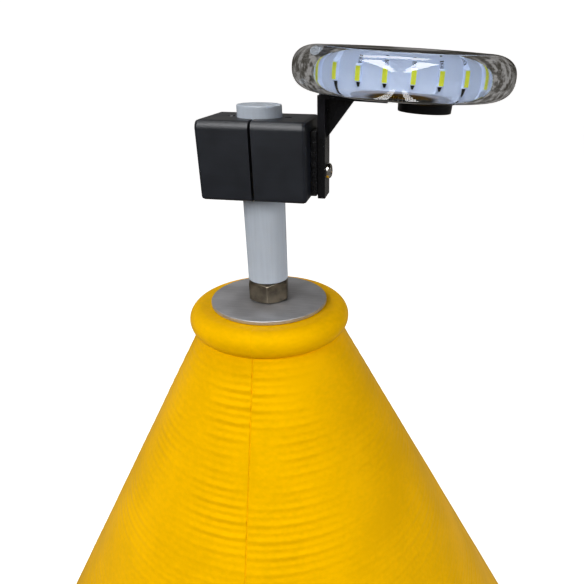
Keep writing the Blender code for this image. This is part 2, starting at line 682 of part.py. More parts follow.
def main():
    clear_scene()
    mats = {
        "float": material("yellow_polyethylene", (0.93, 0.55, 0.01), 0.38),
        "plate": material("grey_steel_plate", (0.42, 0.43, 0.45), 0.42, 1.0),
        "steel": material("stainless_hardware", (0.46, 0.44, 0.42), 0.32, 1.0),
        "iron": material("cast_ballast", (0.10, 0.10, 0.11), 0.70, 0.6),
        "forged": material("galvanised_forging", (0.55, 0.56, 0.57), 0.50, 1.0),
        "nylon": material("white_nylon", (0.80, 0.83, 0.86), 0.45),
        "block": material("blue_black_block", (0.016, 0.019, 0.028), 0.45),
        "black": material("black_plastic", (0.010, 0.010, 0.012), 0.30),
        "clear": material("clear_polycarbonate", (0.86, 0.90, 0.92), 0.05),
        "white": material("white_led_board", (0.82, 0.86, 0.95), 0.50),
        "panel": material("solar_panel_blue", (0.02, 0.03, 0.08), 0.25),
    }
    make_float(mats)
    make_rod(mats)
    make_mooring_eye(mats)
    make_clamp_half("clamp_half_left", -1, mats)
    make_clamp_half("clamp_half_right", 1, mats)
    make_clamp_bolts(mats)
    make_spacer(mats)
    make_bracket(mats)
    make_bracket_screws(mats)
    make_lantern(mats)


main()
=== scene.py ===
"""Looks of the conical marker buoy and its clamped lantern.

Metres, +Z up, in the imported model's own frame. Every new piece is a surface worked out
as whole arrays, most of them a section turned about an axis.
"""

import math

import bmesh
import bpy
import numpy as np
from bpy.props import FloatProperty, FloatVectorProperty, IntProperty, PointerProperty
from bpy.types import Operator, Panel, PropertyGroup
from mathutils import Matrix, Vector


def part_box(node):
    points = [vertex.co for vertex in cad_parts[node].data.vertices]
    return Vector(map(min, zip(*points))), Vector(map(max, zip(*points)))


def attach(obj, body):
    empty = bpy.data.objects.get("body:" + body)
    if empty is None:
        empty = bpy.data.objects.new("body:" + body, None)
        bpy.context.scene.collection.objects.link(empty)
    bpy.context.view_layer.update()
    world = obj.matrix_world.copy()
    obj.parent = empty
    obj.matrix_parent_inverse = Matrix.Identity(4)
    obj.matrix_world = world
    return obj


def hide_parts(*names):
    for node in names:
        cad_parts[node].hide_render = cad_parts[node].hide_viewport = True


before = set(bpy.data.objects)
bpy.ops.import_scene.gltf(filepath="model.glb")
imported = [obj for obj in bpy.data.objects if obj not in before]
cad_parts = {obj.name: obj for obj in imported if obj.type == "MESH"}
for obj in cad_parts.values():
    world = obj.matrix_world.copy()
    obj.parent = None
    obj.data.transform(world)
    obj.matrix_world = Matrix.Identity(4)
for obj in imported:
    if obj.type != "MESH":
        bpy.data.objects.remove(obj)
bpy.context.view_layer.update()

bl_info = {
    "name": "Marker Buoy",
    "version": (1, 0, 0),
    "blender": (4, 5, 0),
    "location": "View3D > Sidebar > Buoy",
    "description": "Builds the buoy's finished pieces, its finishes and its studio",
    "category": "Add Mesh",
}

# Clearance left between pieces that do not touch.
GAP = 0.0003
BUOY = "buoy"
LANTERN = "lamp_clamp"
EYE = "mooring_swivel"


def box_of(node):
    """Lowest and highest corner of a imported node's box."""
    return np.array(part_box(node))


_, HULL_RADIUS, COLLAR_TOP = box_of("float_hull")[1].tolist()
LENS_RADIUS = float(box_of("lamp_lens")[1, 1])
LENS_MIDDLE = box_of("lamp_lens").mean(axis=0)


# ---- Sizes and colours
def length(name, description, default):
    """A length in metres that shows in the panel."""
    return FloatProperty(
        name=name, description=description, default=default, min=0.0, precision=4, unit="LENGTH"
    )


def angle(name, description, degrees):
    """An angle that shows in degrees and is kept in radians."""
    turn = math.radians(degrees)
    return FloatProperty(name=name, description=description, default=turn, subtype="ANGLE")


def plain(name, description, default):
    """A number without a unit."""
    return FloatProperty(name=name, description=description, default=default)


def colour(name, description, default):
    """A linear colour."""
    return FloatVectorProperty(
        name=name, description=description, default=default, min=0.0, max=1.0, subtype="COLOR"
    )


class FloatSettings(PropertyGroup):
    """The moulded float."""

    cone_half_angle: angle("Cone half angle", "Lean of the cone's side from the axis", 28.4)
    apex_above_collar: length("Apex above collar", "Where the cone's sides would meet", 0.0696)
    collar_radius: length("Collar radius", "Outer radius of the rounded collar", 0.0519)
    collar_height: length("Collar height", "Thickness of the rounded collar", 0.018)
    neck_radius: length("Neck radius", "Radius of the groove under the collar", 0.0475)
    bilge_height: length("Bilge height", "Level of the lower rounding's middle", 0.168)
    bilge_rounding: length("Bilge rounding", "Radius of the lower rounding", 0.060)
    shoulder_rounding: length("Shoulder rounding", "Radius where the cone meets the band", 0.095)
    foot_rounding: length("Foot rounding", "Radius of the foot's outer edge", 0.014)
    foot_outer: length("Foot outer radius", "Outer radius of the ring it stands on", 0.172)
    foot_inner: length("Foot inner radius", "Inner radius of the ring it stands on", 0.120)
    recess_radius: length("Recess radius", "Radius of the hollow underneath", 0.105)
    recess_depth: length("Recess depth", "Depth of the hollow underneath", 0.158)
    bore_radius: length("Bore radius", "Radius of the hole for the rod", 0.0083)
    ripple_pitch: length("Ripple pitch", "Distance between the mould's fine ripples", 0.00494)
    ripple_height: length("Ripple height", "Height of the ripples beside the seam", 0.00032)
    seam_depth: length("Seam depth", "Depth of the groove along the seam", 0.0006)
    seam_start: length("Seam start", "Radius where the seam faces straight ahead", 0.041)
    seam_lean: plain("Seam lean", "Sideways drift of the seam for each metre of radius", 0.083)
    yellow: colour("Yellow", "Colour of the moulding", (0.90, 0.48, 0.0))


class HardwareSettings(PropertyGroup):
    """Rod, nuts, plates, ballast and mooring eye."""

    rod_radius: length("Rod radius", "Radius of the central rod", 0.008)
    nut_flats: length("Nut flats", "Width of the nuts across their flats", 0.024)
    thread_pitch: length("Thread pitch", "Pitch of the rod's thread", 0.002)
    thread_depth: length("Thread depth", "Depth of the rod's thread", 0.0009)
    steel: colour("Steel", "Colour of the nuts and the rod", (0.20, 0.17, 0.125))
    plate: colour("Plate", "Colour of the washer plates", (0.50, 0.50, 0.52))
    ballast: colour("Ballast", "Colour of the cast ballast", (0.07, 0.07, 0.075))
    zinc: colour("Zinc", "Colour of the galvanised eye", (0.42, 0.44, 0.46))


class MastSettings(PropertyGroup):
    """The nylon mast."""

    socket_depth: length("Socket depth", "How far the rod enters the mast", 0.032)
    nylon: colour("Nylon", "Colour of the mast", (0.46, 0.51, 0.58))


class ClampSettings(PropertyGroup):
    """The split clamp and the bracket."""

    block: colour("Block", "Colour of the clamp's two halves", (0.006, 0.008, 0.013))
    bracket: colour("Bracket", "Colour of the bracket", (0.006, 0.006, 0.008))
    edge: length("Bracket edge", "Rounding of the bracket's edges", 0.0004)


class LanternSettings(PropertyGroup):
    """The clear lantern and what shows inside it."""

    droop: angle("Droop", "Tilt of the lantern away from the mast", 2.4)
    half_height: length("Half height", "Half the height of the lens", 0.01075)
    edge: length("Edge", "Depth of the lens's rounded edge", 0.0150)
    power: plain("Edge power", "Squareness of the rounded edge, 2 for an ellipse", 2.4)
    base_radius: length("Base radius", "Radius of the black base", 0.0379)
    base_thickness: length("Base thickness", "Thickness of the black base", 0.0065)
    seat_height: length("Seat height", "The lens's inner floor above its underside", 0.0030)
    cavity_radius: length("Cavity radius", "Radius of the hollow in the lens", 0.0465)
    cavity_roof: length("Cavity roof", "Level of the hollow's roof above the lens's middle", 0.0072)
    panel_radius: length("Panel radius", "Radius of the solar panel", 0.0435)
    panel_thickness: length("Panel thickness", "Thickness of the solar panel", 0.0012)
    ring_radius: length("Ring radius", "Outer radius of the light board", 0.0447)
    ring_wall: length("Ring wall", "Thickness of the light board", 0.0016)
    board_drop: length("Board drop", "The light board's lower edge below the lens's middle", 0.0036)
    led_count: IntProperty(
        name="Lights", description="How many light chips the board carries", default=24, min=4
    )
    led_turn: angle("Light turn", "Bearing of the first light chip from straight ahead", 7.8)
    led_width: length("Chip width", "Width of a light chip", 0.0026)
    led_height: length("Chip height", "Height of a light chip", 0.0044)
    led_stand: length("Chip stand", "How far a chip's face stands off the board", 0.0012)
    board: colour("Board", "Colour of the light board", (0.60, 0.68, 0.86))
    phosphor: colour("Phosphor", "Colour of the light chips' windows", (0.62, 0.66, 0.02))
    cell: colour("Solar cell", "Colour of the solar cells", (0.010, 0.014, 0.040))


class StageSettings(PropertyGroup):
    """Camera, floor and lights."""

    camera_place: FloatVectorProperty(
        name="Camera place",
        description="Where the camera stands",
        default=(0.08764, -0.31681, 0.86762),
        subtype="TRANSLATION",
    )
    camera_turn: FloatVectorProperty(
        name="Camera turn",
        description="The camera's rotation",
        default=(math.radians(60.247), math.radians(-0.578), math.radians(8.209)),
        subtype="EULER",
    )
    camera_lens: plain("Lens", "Focal length in millimetres", 33.32)
    shift_x: plain("Shift across", "Sideways shift of the picture", -0.0739)
    shift_y: plain("Shift up", "Upward shift of the picture", 0.1080)
    floor: colour("Floor", "Colour of the floor", (0.92, 0.92, 0.92))
    floor_glow: plain("Floor glow", "Light that the floor gives off by itself", 0.88)
    sweep_radius: length("Sweep radius", "Where the floor turns up into a wall", 9.0)
    sweep_bend: length("Sweep bend", "Radius of the floor's bend", 1.5)
    sweep_height: length("Sweep height", "Height of the wall", 9.0)
    sky_dark: colour("Surroundings, dark", "Dark parts of the surroundings", (0.055, 0.050, 0.042))
    sky_light: colour("Surroundings, light", "Light parts of the surroundings", (0.30, 0.29, 0.28))
    strip_spacing: length("Strip spacing", "Sideways from the lantern's middle to each strip", 0.55)


def settings():
    """The values that the panel shows."""
    return bpy.context.scene.marker_buoy


# ---- Surfaces
def arc(centre, radius, start, end, steps):
    """Points (r, z) on a circle's arc between two angles in degrees, from +r towards +z."""
    turns = np.radians(np.linspace(start, end, steps + 1))
    across, up = radius * np.cos(turns), radius * np.sin(turns)
    return np.stack((centre[0] + across, centre[1] + up), axis=1)


def line(start, end, steps):
    """Evenly spaced points from one (r, z) to another."""
    share = np.linspace(0, 1, steps + 1)[:, None]
    return np.array(start) * (1 - share) + np.array(end) * share


def eased(corners, ease, steps=4, closed=False):
    """Rounds a polyline's corners.

    Each corner c gives way to (1-t)^2 a + 2t(1-t) c + t^2 b, where a and b lie an ease away from
    it, and one more point on each side holds the straight runs straight.
    """
    corners = np.array(corners, float)
    before = np.roll(corners, 1, axis=0) - corners
    after = np.roll(corners, -1, axis=0) - corners
    runs = [np.maximum(np.linalg.norm(run, axis=1, keepdims=True), 1e-9) for run in (before, after)]
    hold = 0.4
    cut = np.minimum(ease, hold * np.minimum(*runs))
    back, ahead = before / runs[0] * cut, after / runs[1] * cut
    t = np.concatenate(([-hold], np.linspace(0, 1, steps + 1), [1 + hold]))[None, :, None]
    inside = np.clip(t, 0, 1)
    bend = (1 - inside) ** 2 * (corners + back)[:, None] + inside**2 * (corners + ahead)[:, None]
    bend = bend + 2 * inside * (1 - inside) * corners[:, None]
    out = np.where(t < 0, -t, 0) * back[:, None] + np.where(t > 1, t - 1, 0) * ahead[:, None]
    path = (bend + out).reshape(-1, 2)
    if closed:
        return path
    return np.vstack((corners[:1], path[steps + 3 : -(steps + 3)], corners[-1:]))


def block_section(inner, outer, low, high):
    """Corners (r, z) of a rectangle beside the axis."""
    return [(inner, low), (outer, low), (outer, high), (inner, high)]


def around(columns, first=0.0):
    """Bearings of evenly spaced columns round an axis."""
    return first + np.arange(columns) / columns * 2 * math.pi


def turned(profile, bearings):
    """A profile (r, z) turned about Z: x = r cos t, y = r sin t, z, for each bearing t.

    The profile is one row of points, or a table with a point for each bearing.
    """
    profile = np.asarray(profile, float)
    radius, level = profile[..., 0], profile[..., 1]
    if radius.ndim == 1:
        radius, level = radius[:, None], level[:, None]
    shape = np.broadcast(radius, bearings).shape
    points = (radius * np.cos(bearings), radius * np.sin(bearings), level)
    return np.stack([np.broadcast_to(part, shape) for part in points], axis=-1)


def box_shell(low, high):
    """Points and faces of a block between two corners."""
    pick = np.array([(i >> 0 & 1, i >> 1 & 1, i >> 2 & 1) for i in range(8)])
    points = np.array(low) * (1 - pick) + np.array(high) * pick
    sides = [(0, 2, 3, 1), (4, 5, 7, 6), (0, 1, 5, 4), (2, 6, 7, 3), (0, 4, 6, 2), (1, 3, 7, 5)]
    return points.reshape(-1, 3), np.array(sides)


def grid_shell(points, closed_rows=False):
    """Points and quads of a grid whose columns close on themselves, and whose rows may too."""
    rows, columns = points.shape[:2]
    number = np.arange(rows * columns).reshape(rows, columns)
    number = np.hstack((number, number[:, :1]))
    if closed_rows:
        number = np.vstack((number, number[:1]))
    corners = (number[:-1, :-1], number[:-1, 1:], number[1:, 1:], number[1:, :-1])
    return points.reshape(-1, 3), np.stack(corners, axis=-1).reshape(-1, 4)


def joined(*shells):
    """Several shells as one table of points and one of faces."""
    starts = np.cumsum([0] + [len(points) for points, _ in shells[:-1]])
    faces = [shell[1] + start for shell, start in zip(shells, starts)]
    return np.vstack([points for points, _ in shells]), np.vstack(faces)


def placed(points, matrix):
    """Points carried by a 4 x 4 matrix."""
    matrix = np.array(matrix)
    return points @ matrix[:3, :3].T + matrix[:3, 3]


def lathe(profile, columns, closed=False, matrix=Matrix.Identity(4)):
    """The shell of a profile (r, z) turned about Z, carried by a matrix."""
    return grid_shell(placed(turned(profile, around(columns)), matrix), closed)


def merged(mesh, distance, flat=0.0):
    """Joins a mesh's coincident points and, where asked, faces that meet within a flat angle."""
    shape = bmesh.new()
    shape.from_mesh(mesh)
    bmesh.ops.remove_doubles(shape, verts=shape.verts, dist=distance)
    if flat:
        bmesh.ops.dissolve_limit(shape, angle_limit=flat, verts=shape.verts, edges=shape.edges)
    shape.to_mesh(mesh)
    shape.free()
    return mesh


def add_piece(name, shell, finish, body, stands_for=(), sharp=35.0):
    """Puts a shell into the scene as a piece, its poles merged and its shading smooth."""
    points, faces = shell
    mesh = bpy.data.meshes.new(name)
    mesh.from_pydata(points, [], faces)
    return enter_piece(name, merged(mesh, 1e-7), finish, body, stands_for, sharp)


def enter_piece(name, mesh, finish, body, stands_for, sharp):
    """Links a mesh as a named piece, with its finish, its body and the nodes that it stands for."""
    mesh.materials.clear()
    mesh.materials.append(finish)
    mesh.shade_smooth()
    mesh.set_sharp_from_angle(angle=math.radians(sharp))
    piece = bpy.data.objects.new(name, mesh)
    bpy.context.scene.collection.objects.link(piece)
    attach(piece, body)
    if stands_for:
        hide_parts(*stands_for)
    return piece


def refined_node(name, node, finish, body, bevel=0.0):
    """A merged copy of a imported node: whole flat faces, edges eased and shaded smooth."""
    mesh = merged(bpy.data.objects[node].data.copy(), 1e-6, math.radians(0.5))
    piece = enter_piece(name, mesh, finish, body, (node,), sharp=32.0)
    if bevel:
        edge = piece.modifiers.new("eased edges", "BEVEL")
        edge.width = bevel
        edge.segments = 3
        edge.limit_method = "ANGLE"
        edge.angle_limit = math.radians(40)
        edge.harden_normals = True
    even = piece.modifiers.new("even shading", "WEIGHTED_NORMAL")
    even.keep_sharp = True
    even.weight = 80
    return piece


# ---- Finishes
def math_node(operation, swapped=False):
    """A Value's method that adds one Math node, with the two values swapped where asked."""

    def method(self, *other):
        parts = (*other, self) if swapped else (self, *other)
        return self.finish.node("ShaderNodeMath", {"operation": operation}, *parts).out()

    return method


class Value:
    """A number over a surface. Python's operators on it add Math nodes."""

    __add__ = math_node("ADD")
    __radd__ = math_node("ADD", swapped=True)
    __sub__ = math_node("SUBTRACT")
    __mul__ = math_node("MULTIPLY")
    __rmul__ = math_node("MULTIPLY", swapped=True)
    __pow__ = math_node("POWER")
    most = math_node("MAXIMUM")
    sine = math_node("SINE")

    def __init__(self, finish, socket):
        self.finish = finish
        self.socket = socket

    def step(self, low, high):
        """0 below low, 1 above high and a smooth rise between them."""
        smooth = {"interpolation_type": "SMOOTHSTEP"}
        node = self.finish.node("ShaderNodeMapRange", smooth, Value=self)
        return node.set(**{"From Min": low, "From Max": high}).out()


class Node:
    """One shader node: values go in by socket name or order, and outputs come back as Values."""

    def __init__(self, finish, kind, choices, inputs, named):
        self.finish = finish
        self.node = finish.tree.nodes.new(kind)
        for name, value in choices.items():
            setattr(self.node, name, value)
        for socket, value in zip(self.sockets(), inputs):
            self.give(socket, value)
        self.set(**named)

    def sockets(self):
        return [socket for socket in self.node.inputs if socket.enabled]

    def give(self, socket, value):
        if isinstance(value, Value):
            self.finish.tree.links.new(value.socket, socket)
        elif isinstance(value, tuple) and len(value) == 3 and len(socket.default_value) == 4:
            socket.default_value = (*value, 1.0)
        else:
            socket.default_value = value

    def set(self, **named):
        for socket in self.sockets():
            if socket.name in named:
                self.give(socket, named[socket.name])
        return self

    def out(self, name=None):
        shown = [socket for socket in self.node.outputs if socket.enabled]
        found = [socket for socket in shown if name in (None, socket.name)]
        return Value(self.finish, found[0])


class Finish:
    """A material built round one Principled shader."""

    def __init__(self, name, **constants):
        self.material = bpy.data.materials.new(name)
        self.material.use_nodes = True
        self.tree = self.material.node_tree
        self.shader = self.tree.nodes["Principled BSDF"]
        self.place = self.node("ShaderNodeTexCoord").out("Object")
        for name, value in constants.items():
            self.constant(name.replace("_", " "), value)

    def constant(self, name, value):
        """Sets a value that is the same all over the surface on the shader's own socket."""
        socket = self.shader.inputs[name]
        padded = isinstance(value, tuple) and len(socket.default_value) == 4
        socket.default_value = (*value, 1.0) if padded else value

    def node(self, kind, choices=None, *inputs, **named):
        """Adds a node of a kind: its settings first, then the values or links of its sockets."""
        return Node(self, kind, choices or {}, inputs, named)

    def feed(self, name, value):
        """Links what changes over the surface to one of the shader's sockets."""
        self.tree.links.new(value.socket, self.shader.inputs[name])

    def at(self, scale):
        """The piece's own coordinates, scaled along x, y and z."""
        return self.node("ShaderNodeMapping", None, Vector=self.place, Scale=scale).out()

    def noise(self, size, place=None, detail=2.0, roughness=0.5, seed=0.0):
        """Soft random values about 0.5 whose blotches are about `size` metres across."""
        node = self.node("ShaderNodeTexNoise", {"noise_dimensions": "4D"}, place or self.place)
        node.set(W=seed, Scale=1.0 / size, Detail=detail, Roughness=roughness)
        return node.out("Fac")

    def cells(self, size, output="Distance"):
        """Cells round points scattered about `size` metres apart."""
        node = self.node("ShaderNodeTexVoronoi", None, Vector=self.place, Scale=1.0 / size)
        return node.out(output)

    def parts(self):
        """x, y and z of the piece's own coordinates as three Values."""
        node = self.node("ShaderNodeSeparateXYZ", None, self.place)
        return [node.out(axis) for axis in "XYZ"]

    def mix(self, share, first, second):
        """One colour where share is 0 and the other where it is 1."""
        return self.node("ShaderNodeMix", {"data_type": "RGBA"}, share, first, second).out()

    def bump(self, height, distance, strength):
        """A bumped normal from a height that is 1 at `distance` metres."""
        return self.node("ShaderNodeBump", None, strength, distance, Height=height).out()

    def toned(self, base, share, dark, light):
        """A colour that wanders between a darker and a lighter tone of itself."""
        low = tuple(channel * dark for channel in base)
        high = tuple(min(1.0, channel * light) for channel in base)
        return self.mix(share, low, high)

    def coat(self, colour, roughness, normal):
        """Feeds a colour, a roughness and a normal, and gives the finished material."""
        self.feed("Base Color", colour)
        self.feed("Roughness", roughness)
        self.feed("Normal", normal)
        return self.material


class Surroundings(Finish):
    """The light from all around, built like a finish round its Background shader."""

    def __init__(self, name):
        self.world = bpy.data.worlds.new(name)
        self.world.use_nodes = True
        self.tree = self.world.node_tree
        self.shader = self.tree.nodes["Background"]
        self.place = self.node("ShaderNodeTexCoord").out("Generated")


def yellow_moulding():
    """Semi-gloss polyethylene: faint clouds in its colour and a hammered skin left by the mould."""
    made = Finish("yellow_moulding", IOR=1.5, Specular_IOR_Level=0.07)
    made.constant("Specular Tint", (1.0, 0.8, 0.0))
    base = settings().float.yellow
    clouds = made.noise(0.045, detail=3.0)
    specks = made.noise(0.0035, made.at((1, 1, 1.6)), detail=1.0, seed=3.0)
    tone = (clouds * 0.7 + specks * 0.3).step(0.36, 0.64)
    roughness = 0.30 + 0.12 * made.noise(0.012, seed=1.0)
    hammered = made.noise(0.0028, detail=1.0, seed=5.0)
    skin = hammered + 0.15 * made.noise(0.0007, seed=6.0)
    return made.coat(made.toned(base, tone, 0.93, 1.05), roughness, made.bump(skin, 0.00025, 0.6))


def brushed_plate():
    """Rolled steel: straight brush lines along X, cloudy roughness and a dull grey colour."""
    made = Finish("brushed_plate", Metallic=0.85)
    lines = made.noise(0.0012, made.at((0.05, 1, 1)), detail=3.0)
    clouds = made.noise(0.014, detail=3.0, seed=2.0)
    base = settings().hardware.plate
    colour = made.toned(base, (lines * 0.5 + clouds * 0.5).step(0.35, 0.65), 0.88, 1.12)
    return made.coat(colour, 0.42 + 0.16 * clouds, made.bump(lines, 0.00004, 0.5))


def stainless(name, base, roughness):
    """Machined stainless steel: fine turning lines round the axis and a warm tint in patches."""
    made = Finish(name, Metallic=1.0)
    rings = made.noise(0.0006, made.at((0.1, 0.1, 1)))
    clouds = made.noise(0.006, detail=3.0, seed=4.0)
    colour = made.toned(base, clouds.step(0.35, 0.65), 0.75, 1.25)
    return made.coat(colour, roughness + 0.18 * clouds, made.bump(rings, 0.00003, 0.4))


def cast_iron():
    """Painted casting: a coarse skin with worn lighter tops."""
    made = Finish("cast_ballast", Metallic=0.2)
    skin = made.noise(0.0030, detail=4.0, roughness=0.6)
    base = settings().hardware.ballast
    colour = made.toned(base, skin.step(0.4, 0.7), 0.7, 1.6)
    return made.coat(colour, 0.55 + 0.3 * skin, made.bump(skin, 0.0005, 0.6))


def galvanised():
    """Hot-dip zinc: crystals of slightly different grey with soft borders."""
    made = Finish("galvanised_zinc", Metallic=0.9)
    crystals = made.cells(1 / 260, "Color")
    grey = made.node("ShaderNodeSeparateColor", None, crystals).out("Red")
    colour = made.toned(settings().hardware.zinc, grey, 0.75, 1.15)
    lumps = made.bump(made.noise(0.004, detail=3.0), 0.0004, 0.5)
    return made.coat(colour, 0.38 + 0.2 * grey, lumps)


def white_nylon():
    """Milky nylon rod: light passes a little way in, with faint drawing lines down its length."""
    made = Finish("white_nylon", Subsurface_Weight=0.25, IOR=1.53)
    made.constant("Subsurface Radius", (0.006, 0.007, 0.008))
    drawn = made.noise(0.0012, made.at((1, 1, 0.04)))
    clouds = made.noise(0.015, seed=2.0)
    base = settings().mast.nylon
    colour = made.toned(base, (0.6 * drawn + 0.4 * clouds).step(0.35, 0.65), 0.96, 1.03)
    return made.coat(colour, 0.38 + 0.14 * clouds, made.bump(drawn, 0.00005, 0.4))


def block_plastic():
    """Machined blue-black plastic: soft sheen, cutter lines and a few pale scuffs."""
    made = Finish("block_plastic", IOR=1.5, Specular_IOR_Level=0.5)
    lines = made.noise(0.0009, made.at((0.03, 1, 1)))
    clouds = made.noise(0.012, detail=3.0, seed=1.0)
    base = settings().clamp.block
    colour = made.toned(base, (0.3 * lines + 0.7 * clouds).step(0.3, 0.7), 0.8, 1.3)
    return made.coat(colour, 0.34 + 0.16 * clouds, made.bump(lines, 0.00003, 0.5))


def black_plastic(name, roughness, grain_size):
    """Moulded black plastic: a fine spark grain under a soft gloss."""
    made = Finish(name, IOR=1.5, Specular_IOR_Level=0.25)
    grain = made.bump(made.noise(grain_size), 0.00004, 0.4)
    clouds = made.noise(0.010, seed=1.0)
    colour = made.toned(settings().clamp.bracket, clouds, 0.8, 1.4)
    return made.coat(colour, roughness + 0.12 * clouds, grain)


def clear_plastic():
    """Clear moulding: faint waves in its skin bend what is behind it."""
    made = Finish("clear_plastic", Roughness=0.02, IOR=1.5, Transmission_Weight=1.0)
    made.constant("Base Color", (0.97, 0.985, 1.0))
    waves = made.noise(0.020, detail=0.0)
    made.feed("Normal", made.bump(waves, 0.0002, 0.10))
    return made.material


def light_board():
    """White solder mask tinted faintly blue, with a painted blue glow on its outer face, and
    painted black shade on its inner face inside the ring.
    """
    # Emission_Strength makes the board glow though it is no lamp: a painted glow.
    made = Finish("light_board", Roughness=0.45, Emission_Strength=0.22)
    size = settings().lantern
    x, y, _ = made.parts()
    across = x - float(LENS_MIDDLE[0])
    face_edges = size.ring_radius - 0.0011, size.ring_radius - 0.0006
    outside = ((across * across + y * y) ** 0.5).step(*face_edges)
    face = made.toned(size.board, made.noise(0.008), 0.96, 1.04)
    # Inner face near black: painted shade. Outer face: the board's own toned colour.
    made.feed("Base Color", made.mix(outside, (0.010, 0.009, 0.008), face))
    # Outer face: a painted blue glow. Inner face: no glow.
    made.feed("Emission Color", made.mix(outside, (0.0, 0.0, 0.0), (0.50, 0.66, 1.0)))
    return made.material


def phosphor_window():
    """Yellow-green window of a light chip, with a painted yellow-green glow."""
    # The emission is a painted glow in the window's own yellow-green, standing in for light falling
    # on it.
    made = Finish("phosphor_window", Roughness=0.5, Emission_Strength=0.35)
    made.constant("Emission Color", (0.62, 0.70, 0.05))
    base = settings().lantern.phosphor
    made.feed("Base Color", made.toned(base, made.noise(0.0004), 0.9, 1.1))
    return made.material


def solar_cells():
    """Dark blue cells with fine silver lines across the top face; the underside is painted near
    black without lines, as painted shade.
    """
    made = Finish("solar_cells", Metallic=0.1)
    x, y, z = made.parts()
    finger_pitch, bar_pitch = 0.0024, 0.017
    fingers = (x * (2 * math.pi / finger_pitch)).sine().step(0.93, 0.98)
    bars = (y * (2 * math.pi / bar_pitch)).sine().step(0.985, 0.995)
    middle = float(LENS_MIDDLE[2])
    # Below the top face the lines stop and the cells fall to 0.3 of their colour: painted shade on
    # the panel's underside.
    above = z.step(middle + 0.0050, middle + 0.0056)
    lines = fingers.most(bars) * above
    base = settings().lantern.cell
    cell = made.toned(base, made.cells(0.0035) * above, 0.3, 1.6)
    made.feed("Base Color", made.mix(lines, cell, (0.45, 0.47, 0.5)))
    made.feed("Roughness", 0.25 + 0.2 * lines)
    return made.material


# ---- Float
def tangent_angle(first, first_radius, second, second_radius):
    """Angle in degrees of the normal shared by two arcs that one straight line touches."""
    across, up = second[0] - first[0], second[1] - first[1]
    lean = math.acos((first_radius - second_radius) / math.hypot(across, up))
    return math.degrees(math.atan2(up, across) - lean)


def float_section():
    """(r, z) round the float from the bore's lower end, outwards, up the cone and in to the bore.

    Also gives 1 for each point on the rippled cone and 0 for every other one.
    """
    size = settings().float
    recess_ease, lip_ease, row_height = 0.010, 0.008, 0.00085
    apex = COLLAR_TOP + size.apex_above_collar
    spread = math.tan(size.cone_half_angle)
    inner, depth = size.recess_radius - recess_ease, size.recess_depth
    foot = (size.foot_outer - size.foot_rounding, size.foot_rounding)
    bilge = (HULL_RADIUS - size.bilge_rounding, size.bilge_height)
    lean = tangent_angle(foot, size.foot_rounding, bilge, size.bilge_rounding)
    drop = size.shoulder_rounding * math.tan(size.cone_half_angle / 2)
    turn = (HULL_RADIUS - size.shoulder_rounding, apex - HULL_RADIUS / spread - drop)
    shoulder = arc(turn, size.shoulder_rounding, 0, math.degrees(size.cone_half_angle), 14)
    neck = apex - size.neck_radius / spread
    start = shoulder[-1]
    slant = math.hypot(size.neck_radius - start[0], neck - start[1])
    cone = line(start, (size.neck_radius, neck), int(slant / row_height))[1:]
    bead = size.collar_height / 2
    flat_top = (size.collar_radius - 1.15 * bead, COLLAR_TOP)
    parts = (
        line((size.bore_radius, depth), (inner, depth), 6)[:-1],
        arc((inner, depth - recess_ease), recess_ease, 90, 0, 6),
        arc((size.foot_inner, lip_ease), lip_ease, 180, 270, 6),
        arc(foot, size.foot_rounding, -90, lean, 8),
        arc(bilge, size.bilge_rounding, lean, 0, 16),
        shoulder,
        cone,
        [(size.neck_radius - 0.0008, neck + 0.0012)],
        arc((size.collar_radius - bead, COLLAR_TOP - bead), bead, -72, 90, 24),
        line(flat_top, (size.bore_radius, COLLAR_TOP), 4),
    )
    on_cone = np.concatenate([np.full(len(part), float(part is cone)) for part in parts])
    return np.vstack(parts), on_cone


def soft_random(rng, along, bearing, waves, turns):
    """A sum of eight cosines of height and bearing, about -1 to 1, that closes round the axis."""
    counts = rng.integers(1, turns, 8)
    steps = rng.uniform(-waves, waves, 8)
    offsets = rng.uniform(0, 2 * math.pi, 8)
    phase = counts * bearing[..., None] + steps * along[..., None] + offsets
    return np.cos(phase).sum(axis=-1) / 4


